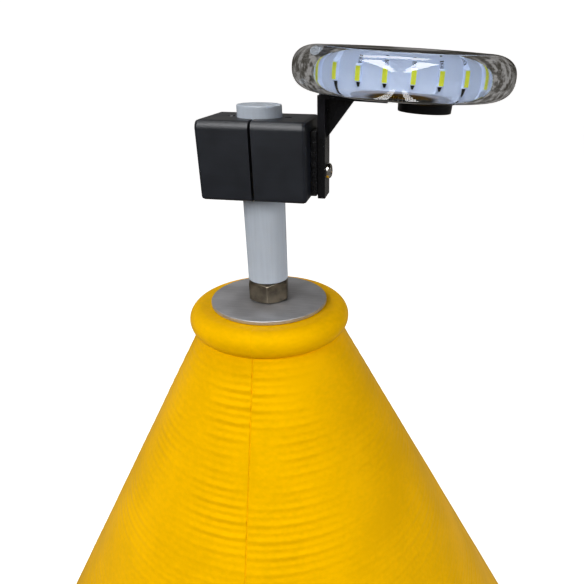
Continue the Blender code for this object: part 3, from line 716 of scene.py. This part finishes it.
def make_float():
    """The float: its section turned about Z, with the mould's ripples and two seams as real relief.

    The ripple is sin(p) + 0.7 sin(p/2 + 0.6), where p turns once in each pitch along the section.
    It comes and goes in patches and is strongest beside the seams. Each seam is a groove of depth
    e^-(d/w)^2 at a distance d from its line.
    """
    size = settings().float
    calm_width, groove_width, ripple_reach = 0.0011, 0.00045, 0.040
    columns, least_radius = 58, 0.02
    section, on_cone = float_section()
    radius = section[:, 0]
    along = np.cumsum(np.linalg.norm(np.diff(section, axis=0, prepend=section[:1]), axis=1))
    drift = np.clip(radius - size.seam_start, 0.0, None) * size.seam_lean
    seam = -math.pi / 2 + np.arctan2(drift, np.maximum(radius, size.seam_start))
    beside = np.array([0.0, 0.0003, 0.0006, calm_width])
    near = beside / np.maximum(radius, least_radius)[:, None]
    start = near[:, -1:]
    rest = start + (math.pi - 2 * start) * np.linspace(0, 1, columns)[1:-1]
    half = np.hstack((near, rest, math.pi - near[:, :0:-1]))
    bearing = np.hstack((seam[:, None] + half, seam[:, None] + math.pi + half))
    to_seam = np.minimum(half, math.pi - half) * radius[:, None]
    to_seam = np.hstack((to_seam, to_seam))

    rng = np.random.default_rng(11)
    rows = np.broadcast_to(along[:, None], bearing.shape)
    wander = soft_random(rng, rows, bearing, 90.0, 7)
    patches = soft_random(rng, rows, bearing, 130.0, 11)
    side = np.sign(np.sin(bearing - seam[:, None] + 1e-6))
    phase = 2 * math.pi * rows / size.ripple_pitch + 0.5 * wander + 0.9 * side
    ripple = np.sin(phase) + 0.7 * np.sin(phase / 2 + 0.6)
    strength = 0.3 + 0.7 * np.exp(-((to_seam / ripple_reach) ** 2))
    strength = strength * np.clip(0.7 + 0.8 * patches, 0.1, 1.4) * on_cone[:, None]
    height = size.ripple_height * ripple * strength * np.clip(to_seam / calm_width, 0, 1)
    outer = (radius > size.collar_radius * 0.6) & (section[:, 1] > 0.02)
    groove = size.seam_depth * np.exp(-((to_seam / groove_width) ** 2))
    height = height - groove * (outer * (0.35 + 0.65 * on_cone))[:, None]
    run = np.gradient(section, axis=0)
    run /= np.maximum(np.linalg.norm(run, axis=1, keepdims=True), 1e-9)
    normal = np.stack((run[:, 1], -run[:, 0]), axis=1)
    relief = section[:, None] + height[..., None] * normal[:, None]
    shell, yellow = grid_shell(turned(relief, bearing), True), yellow_moulding()
    add_piece("float_moulding", shell, yellow, BUOY, ("float_hull",), sharp=50.0)


# ---- Rod, nuts, plates, ballast and mast
def rod_hole():
    """Radius of a hole that the rod passes through."""
    return settings().hardware.rod_radius + GAP


def make_plate(name, node, ease, finish):
    """A flat ring: an eased rectangle turned about Z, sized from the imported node."""
    low, high = box_of(node)
    section = eased(block_section(rod_hole(), high[1], low[2], high[2]), ease, closed=True)
    add_piece(name, lathe(section, 160, closed=True), finish, BUOY, (node,))


def make_nut(name, node, first, finish):
    """A chamfered hexagon: r = flats / 2 / cos(t) round each side, cut by a cone at both ends."""
    low, high = box_of(node)[:, 2]
    half, ease = settings().hardware.nut_flats / 2, 0.00025
    corner_reach, face_reach, chamfer = 1.140 * half, 0.955 * half, math.radians(30)
    bearings = around(144, math.radians(first))
    side = (bearings - math.radians(first)) % (math.pi / 3) - math.pi / 6
    hexagon = np.minimum(half / np.cos(side), corner_reach)
    flat = np.full_like(hexagon, face_reach)
    fall = (hexagon - flat) * math.tan(chamfer)
    rises = [(rod_hole(), 0), (flat - ease, 0), (flat, 0.2 * ease)]
    rises += [(hexagon - ease, fall - 0.4 * ease)]
    rises += [(hexagon, fall + ease), (hexagon, fall + 2 * ease)]
    rows = [(radius, low + rise) for radius, rise in rises]
    rows += [(radius, high - rise) for radius, rise in reversed(rises)]
    table = [np.stack(np.broadcast_arrays(*row, hexagon)[:2], axis=-1) for row in rows]
    shell = grid_shell(turned(np.array(table), bearings), True)
    add_piece(name, shell, finish, BUOY, (node,), sharp=25.0)


def make_rod(finish):
    """The rod: r = radius less a triangular thread that turns once a pitch, where it shows."""
    size = settings().hardware
    low, high = box_of("through_rod")[:, 2]
    threaded, ease, run_out = low + 0.064, 0.0012, 0.002
    levels = np.arange(low + ease, threaded, size.thread_pitch / 8)
    levels = np.concatenate((levels, np.linspace(threaded, high - ease, 8)))
    bearings = around(40)
    turn = levels[:, None] / size.thread_pitch - bearings / (2 * math.pi)
    thread = np.abs((turn % 1.0) * 2 - 1) * size.thread_depth
    fade = np.clip((threaded - levels) / size.thread_pitch, 0, 1)
    fade = fade * np.clip((levels - low - ease) / run_out, 0, 1)
    cap = np.outer((0, size.rod_radius - ease), np.ones_like(bearings))
    radius = np.vstack((cap, size.rod_radius - thread * fade[:, None], cap[::-1]))
    levels = np.concatenate(((low, low), levels, (high, high)))
    table = np.stack(np.broadcast_arrays(radius, levels[:, None]), axis=-1)
    shell = grid_shell(turned(table, bearings))
    add_piece("rod_threaded", shell, finish, BUOY, ("through_rod",), sharp=40.0)


def make_ballast():
    """The ballast: an eased rectangle turned about Z, with a shallow groove round its side."""
    low, high = box_of("ballast_disc")
    hole, radius, middle = rod_hole(), high[1], (low[2] + high[2]) / 2
    dip, mouth, bottom = 0.0015, 0.004, 0.002
    corners = [(hole, low[2]), (radius, low[2]), (radius, middle - mouth)]
    corners += [(radius - dip, middle - bottom), (radius - dip, middle + bottom)]
    corners += [(radius, middle + mouth), (radius, high[2]), (hole, high[2])]
    shell = lathe(eased(corners, 0.004, 6, closed=True), 160, closed=True)
    add_piece("ballast_casting", shell, cast_iron(), BUOY, ("ballast_disc",))


def make_mast():
    """The mast: a tube's section with a socket for the rod and an eased top, turned about Z."""
    low, high = box_of("nylon_mast")
    hole, radius, margin = rod_hole(), high[1], 0.004
    socket = low[2] + settings().mast.socket_depth
    corners = [(0, socket), (hole, socket), (hole, low[2]), (radius, low[2])]
    profile = eased([*corners, (radius, high[2]), (0, high[2])], 0.0009, 5)
    side = np.flatnonzero(profile[:, 0] > radius - 1e-5)
    first = side[len(side) // 2]
    levels = line((radius, low[2] + margin), (radius, high[2] - margin), 12)
    profile = np.vstack((profile[:first], levels, profile[first:]))
    add_piece("mast_rod", lathe(profile, 128), white_nylon(), BUOY, ("nylon_mast",))


def make_eye():
    """The mooring eye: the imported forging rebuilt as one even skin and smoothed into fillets."""
    mesh = merged(bpy.data.objects["mooring_eye"].data.copy(), 1e-6)
    eye = enter_piece(
        "eye_forging", mesh, galvanised(), EYE, ("mooring_eye",), sharp=180.0
    )
    skin = eye.modifiers.new("even skin", "REMESH")
    skin.mode = "VOXEL"
    skin.voxel_size = 0.0006
    skin.use_smooth_shade = True
    fillet = eye.modifiers.new("fillets", "SMOOTH")
    fillet.factor = 0.5
    fillet.iterations = 8


# ---- Clamp and bracket
def make_clamp():
    """The clamp's halves and its bolts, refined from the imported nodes."""
    block = block_plastic()
    for side in ("left", "right"):
        refined_node(f"clamp_{side}", f"clamp_half_{side}", block, LANTERN)
    bolt = stainless("bolt_steel", settings().hardware.steel, 0.25)
    for place in ("front", "rear"):
        refined_node(f"bolt_{place}", f"clamp_bolt_{place}", bolt, LANTERN)


def screw_shell(head_radius, head_height, radius, length, matrix):
    """A pan head, z = height (1 - (r/R)^4)^(1/2) less a cross recess, and its shank."""
    slot_reach, slot_width, tip = 0.62 * head_radius, 0.17 * head_radius, 0.0004
    slot_depth, end_slope, side_slope = 0.5 * head_height, 0.10 * head_radius, 0.06 * head_radius
    bearings = around(96)
    rings = np.linspace(1, 0, 40)[:, None]
    reach = rings * head_radius
    cosine, sine = np.abs(np.cos(bearings)), np.abs(np.sin(bearings))
    across, far = np.minimum(cosine, sine) * reach, np.maximum(cosine, sine) * reach
    dome = head_height * np.sqrt(np.clip(1 - rings**4, 0, 1))
    inside = np.clip((slot_reach - far) / end_slope, 0, 1)
    inside = inside * np.clip((slot_width - across) / side_slope, 0, 1)
    head = np.stack(np.broadcast_arrays(reach, dome - slot_depth * inside), axis=-1)
    under = [(0, -length), (radius - tip, -length), (radius, tip - length), (radius, 0)]
    under = np.array([*under, (0.98 * head_radius, 0)])[:, None] * np.ones((1, len(bearings), 1))
    points = turned(np.concatenate((under, head)), bearings)
    return grid_shell(placed(points, matrix))


def lantern_frame():
    """The lantern's own frame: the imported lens's middle, drooping away from the mast."""
    x, _, z = LENS_MIDDLE
    return Matrix.Translation((x, 0, z)) @ Matrix.Rotation(settings().lantern.droop, 4, "Y")


def make_bracket():
    """The bracket and its ribbed spacer, with eased edges, and the screw that holds them."""
    edge = settings().clamp.edge
    black = black_plastic("bracket_black", 0.22, 0.0006)
    refined_node("bracket_arm", "lamp_bracket", black, LANTERN, edge)
    black = black_plastic("spacer_black", 0.45, 0.0004)
    refined_node("spacer_ribbed", "bracket_spacer", black, LANTERN, edge / 2)
    steel = stainless("screw_steel", (0.55, 0.53, 0.50), 0.12)
    head_height, shank_radius = 0.0026, 0.0025
    low, high = box_of("bracket_screw")
    seat = high[0] - head_height
    matrix = Matrix.Translation((seat, 0, (low[2] + high[2]) / 2))
    matrix = matrix @ Matrix.Rotation(math.pi / 2, 4, "Y")
    matrix = matrix @ Matrix.Rotation(math.radians(28), 4, "Z")
    shell = screw_shell((high[1] - low[1]) / 2, head_height, shank_radius, seat - low[0], matrix)
    node = ("bracket_screw",)
    add_piece("bracket_pan_screw", shell, steel, LANTERN, node, sharp=50.0)
    for place in ("inner", "outer"):
        refined_node(f"lamp_fixing_{place}", f"lamp_screw_{place}", steel, LANTERN)


# ---- Lantern
def inner_levels():
    """Levels inside the lens: its inner floor, then the light board's lower and upper edges."""
    size = settings().lantern
    seat = -size.half_height + size.seat_height + GAP
    return seat, -size.board_drop, size.cavity_roof - size.panel_thickness - 2 * GAP


def make_lens(matrix):
    """The lens: its outer curve and its hollow, one profile turned about the lantern's axis.

    On the rim r falls as cos(t)^(2/p) while z rises as sin(t)^(2/p), where p is the edge's power.
    """
    size = settings().lantern
    flat, crown_rise = LENS_RADIUS - size.edge, 0.0007
    t = np.linspace(0, 1, 73) * math.pi / 2
    bulge, rise = np.clip(np.cos(t), 0, 1) ** (2 / size.power), np.sin(t) ** (2 / size.power)
    rim = np.stack((flat + size.edge * bulge, size.half_height * rise), axis=1)
    low, seat = -size.half_height, inner_levels()[0]
    wall, hollow, roof = size.base_radius + GAP, size.cavity_radius, size.cavity_roof
    corners = [(0, roof), (hollow, roof), (hollow, seat), (wall, seat), (wall, low)]
    foot = line((wall, low), (flat, low), 4)[1:-1]
    share = np.linspace(1, 0, 24)[1:]
    crown = np.stack((flat * share, size.half_height + crown_rise * (1 - share**2)), axis=1)
    profile = np.vstack((eased(corners, 0.0006, 5), foot, rim[::-1] * (1, -1), rim[1:], crown))
    shell, clear = lathe(profile, 192, matrix=matrix), clear_plastic()
    add_piece("lens_clear", shell, clear, LANTERN, ("lamp_lens",), sharp=40.0)


def ring_blocks(matrix, rise, width, level, height, taper=1.0):
    """Small blocks on the board, one for each light chip: rise is (inner, outer) from its face.

    Each is `width` across and `height` high about `level`; its lower end is `taper` times as wide.
    """
    size = settings().lantern
    bearings = around(size.led_count, -math.pi / 2 + size.led_turn)
    low = (size.ring_radius + rise[0], -width / 2, level - height / 2)
    high = (size.ring_radius + rise[1], width / 2, level + height / 2)
    points, faces = box_shell(low, high)
    points[:, 1] *= np.where(points[:, 2] < level, taper, 1.0)
    cosine, sine = np.cos(bearings)[:, None], np.sin(bearings)[:, None]
    x = points[:, 0] * cosine - points[:, 1] * sine
    y = points[:, 0] * sine + points[:, 1] * cosine
    spread = np.stack((x, y, np.broadcast_to(points[:, 2], x.shape)), axis=-1).reshape(-1, 3)
    faces = (np.arange(size.led_count)[:, None, None] * len(points) + faces[None]).reshape(-1, 4)
    return placed(spread, matrix), faces


def make_light_board(matrix):
    """The light board: a thin tube turned about the axis, with blocks for its chips and marks."""
    size = settings().lantern
    inner, outer = size.ring_radius - size.ring_wall, size.ring_radius
    section = eased(block_section(inner, outer, *inner_levels()[1:]), 0.0002, 2, closed=True)
    white = light_board()
    board = lathe(section, 180, closed=True, matrix=matrix)
    add_piece("light_board", board, white, LANTERN, ("led_ring",))

    wide, tall, stand = size.led_width, size.led_height, size.led_stand
    sunk, proud, above, below = -0.0003, 0.00005, 0.0028, -0.0026
    # Each row: how far the inner and outer faces stand off the board, the width, the level from
    # the chip's middle, the height and, for a block that narrows downwards, its taper.
    packages = [
        ((sunk, stand - 0.0001), wide, 0, tall),
        ((proud, 0.00015), 0.0015, above, 0.0008),
        ((proud, 0.00030), 0.0005, above, 0.0003),
    ]
    windows = [((stand - 0.0003, stand), 0.80 * wide, 0, 0.92 * tall)]
    marks = [
        ((sunk, 0.0003), 0.0018, below, 0.0008, 0.45),
        ((sunk, 0.0001), 0.0017, above, 0.0010),
        ((proud, 0.00020), 0.0009, above, 0.0006),
        ((sunk, 0.0001), 0.0012, 0.0040, 0.00006),
    ]
    dark = black_plastic("board_marks", 0.4, 0.0004)
    finishes = {"packages": white, "windows": phosphor_window(), "marks": dark}
    for name, rows in (("packages", packages), ("windows", windows), ("marks", marks)):
        shell = joined(*[ring_blocks(matrix, *row) for row in rows])
        add_piece("light_" + name, shell, finishes[name], LANTERN)


def make_lantern_inside(matrix):
    """The black base, the cap under it and the solar cells, each turned about an axis."""
    size = settings().lantern
    black = black_plastic("base_black", 0.30, 0.0005)
    low = -size.half_height
    base = eased(block_section(0, size.base_radius, low, low + size.base_thickness), 0.0004)
    shell = lathe(base, 128, matrix=matrix)
    add_piece("base_disc", shell, black, LANTERN, ("lamp_base",))

    flange = np.ptp(box_of("lamp_cap")[:, 1]) / 2
    neck, top, off_axis = flange - 0.0024, low - GAP, 0.0135
    bottom, waist, brim = top - 0.0068, top - 0.0024, top - 0.0020
    corners = [(0, bottom), (neck - 0.0002, bottom), (neck, waist), (flange, brim)]
    corners += [(flange, top - 0.0002), (0, top - 0.0002)]
    spot = matrix @ Matrix.Translation((off_axis, 0, 0))
    shell = lathe(eased(corners, 0.0005), 96, matrix=spot)
    add_piece("cap_moulding", shell, black, LANTERN, ("lamp_cap",))

    high = size.cavity_roof - GAP
    panel = block_section(0, size.panel_radius, high - size.panel_thickness, high)
    shell = lathe(eased(panel, 0.0002, 2), 128, matrix=matrix)
    add_piece("solar_disc", shell, solar_cells(), LANTERN, ("solar_panel",))


# ---- Stage
def make_stage():
    """Camera, pale floor, soft surroundings and broad lights."""
    size = settings().stage
    scene = bpy.context.scene
    scene.view_settings.view_transform = "Standard"

    camera = bpy.data.objects.new("camera", bpy.data.cameras.new("camera"))
    scene.collection.objects.link(camera)
    camera.location = size.camera_place
    camera.rotation_euler = size.camera_turn
    camera.data.sensor_width = 36.0
    camera.data.lens = size.camera_lens
    camera.data.shift_x, camera.data.shift_y = size.shift_x, size.shift_y
    camera.data.clip_start, camera.data.clip_end = 0.01, 50.0
    scene.camera = camera

    made = Finish("floor_paint", Roughness=0.9, Emission_Strength=size.floor_glow)
    made.constant("Emission Color", (1.0, 1.0, 1.0))
    made.feed("Base Color", made.toned(size.floor, made.noise(0.4), 0.99, 1.01))
    reach, bend = size.sweep_radius, size.sweep_bend
    curve = arc((reach - bend, bend), bend, -90, 0, 12)
    points, faces = lathe(np.vstack(([(0, 0)], curve, [(reach, size.sweep_height)])), 96)
    mesh = bpy.data.meshes.new("floor")
    mesh.from_pydata(points, [], faces[:, ::-1])
    mesh.materials.append(made.material)
    mesh.shade_smooth()
    floor = bpy.data.objects.new("floor", mesh)
    scene.collection.objects.link(floor)
    floor.visible_diffuse = floor.visible_glossy = floor.visible_transmission = False

    around_it = Surroundings("surroundings")
    patches = around_it.noise(0.16, roughness=0.6).step(0.44, 0.60)
    shades = tuple(size.sky_dark), tuple(size.sky_light)
    around_it.feed("Color", around_it.mix(patches, *shades))
    scene.world = around_it.world

    add_light("key", (-1.2, -1.9, 1.9), (0, 0, 0.5), (1.4, 1.4), 52.0, "diffuse")
    add_light("fill", (2.3, -0.5, 1.2), (0, 0, 0.5), (1.2, 1.2), 30.0, "diffuse")
    every_kind = "diffuse glossy transmission"
    add_light("overhead", (0.0, 0.15, 2.4), (0, 0.15, 0), (1.0, 0.4), 9.0, every_kind)
    for side in (-1, 1):
        x = side * size.strip_spacing + LENS_MIDDLE[0]
        add_light("strip", (x, -2.9, 2.3), (x, -2.9, 0), (0.45, 5.0), 90.0, "glossy transmission")


def add_light(name, place, target, size, power, reaches):
    """A broad rectangular light that faces a point and reaches only the named kinds of ray."""
    data = bpy.data.lights.new(name, "AREA")
    data.shape = "RECTANGLE"
    data.size, data.size_y = size
    data.energy = power
    light = bpy.data.objects.new(name, data)
    bpy.context.scene.collection.objects.link(light)
    toward = Matrix.Translation(place).translation - Matrix.Translation(target).translation
    light.location = place
    light.rotation_euler = toward.to_track_quat("Z", "Y").to_euler()
    for kind in ("diffuse", "glossy", "transmission"):
        setattr(light, "visible_" + kind, kind in reaches)


# ---- Operators
class MakeStage(Operator):
    """Sets up the camera, the floor and the lights"""

    bl_idname = "marker_buoy.make_stage"
    bl_label = "Studio"

    def execute(self, context):
        make_stage()
        return {"FINISHED"}


class MakeFloat(Operator):
    """Builds the moulded float"""

    bl_idname = "marker_buoy.make_float"
    bl_label = "Float"

    def execute(self, context):
        make_float()
        return {"FINISHED"}


class MakeHardware(Operator):
    """Builds the rod, its nuts, its plates, the ballast and the mooring eye"""

    bl_idname = "marker_buoy.make_hardware"
    bl_label = "Rod and hardware"

    def execute(self, context):
        steel = stainless("nut_steel", settings().hardware.steel, 0.28)
        plate = brushed_plate()
        make_plate("plate_upper", "top_washer_plate", 0.0005, plate)
        make_plate("plate_lower", "bottom_washer_plate", 0.0006, plate)
        make_nut("nut_upper", "hex_nut_top", -80.0, steel)
        make_nut("nut_lower", "hex_nut_bottom", 0.0, steel)
        make_nut("nut_end", "end_nut", 30.0, steel)
        make_rod(steel)
        make_ballast()
        make_eye()
        return {"FINISHED"}


class MakeMast(Operator):
    """Builds the nylon mast"""

    bl_idname = "marker_buoy.make_mast"
    bl_label = "Mast"

    def execute(self, context):
        make_mast()
        return {"FINISHED"}


class MakeClamp(Operator):
    """Builds the split clamp and its bolts"""

    bl_idname = "marker_buoy.make_clamp"
    bl_label = "Clamp"

    def execute(self, context):
        make_clamp()
        return {"FINISHED"}


class MakeBracket(Operator):
    """Builds the bracket, its spacer and its screws"""

    bl_idname = "marker_buoy.make_bracket"
    bl_label = "Bracket"

    def execute(self, context):
        make_bracket()
        return {"FINISHED"}


class MakeLantern(Operator):
    """Builds the clear lantern with its lights and solar cells"""

    bl_idname = "marker_buoy.make_lantern"
    bl_label = "Lantern"

    def execute(self, context):
        matrix = lantern_frame()
        make_lens(matrix)
        make_light_board(matrix)
        make_lantern_inside(matrix)
        return {"FINISHED"}


def part(group, name, description):
    """One of the buoy's groups of values."""
    return PointerProperty(type=group, name=name, description=description)


class BuoySettings(PropertyGroup):
    """All of the buoy's values."""

    float: part(FloatSettings, "Float", "The moulded float")
    hardware: part(HardwareSettings, "Hardware", "Rod, nuts, plates, ballast and eye")
    mast: part(MastSettings, "Mast", "The nylon mast")
    clamp: part(ClampSettings, "Clamp", "The split clamp and the bracket")
    lantern: part(LanternSettings, "Lantern", "The clear lantern")
    stage: part(StageSettings, "Stage", "Camera, floor and lights")


MAKERS = (MakeStage, MakeFloat, MakeHardware, MakeMast, MakeClamp, MakeBracket, MakeLantern)


class BuoyPanel(Panel):
    """Lists the pieces of the buoy and their values"""

    bl_idname = "VIEW3D_PT_marker_buoy"
    bl_label = "Marker Buoy"
    bl_space_type = "VIEW_3D"
    bl_region_type = "UI"
    bl_category = "Buoy"

    def draw(self, context):
        for maker in MAKERS:
            self.layout.operator(maker.bl_idname)
        for part in ("float", "hardware", "mast", "clamp", "lantern", "stage"):
            group = getattr(settings(), part)
            box = self.layout.box()
            box.label(text=part.capitalize())
            for name in group.bl_rna.properties.keys():
                if name not in ("rna_type", "name"):
                    box.prop(group, name)


GROUPS = (
    FloatSettings,
    HardwareSettings,
    MastSettings,
    ClampSettings,
    LanternSettings,
    StageSettings,
    BuoySettings,
)
CLASSES = (*GROUPS, *MAKERS, BuoyPanel)


def register():
    for kind in CLASSES:
        bpy.utils.register_class(kind)
    bpy.types.Scene.marker_buoy = PointerProperty(type=BuoySettings)


def unregister():
    del bpy.types.Scene.marker_buoy
    for kind in reversed(CLASSES):
        bpy.utils.unregister_class(kind)


def main():
    """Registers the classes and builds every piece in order."""
    register()
    for maker in MAKERS:
        getattr(bpy.ops.marker_buoy, maker.bl_idname.split(".")[1])()


if __name__ == "__main__":
    main()
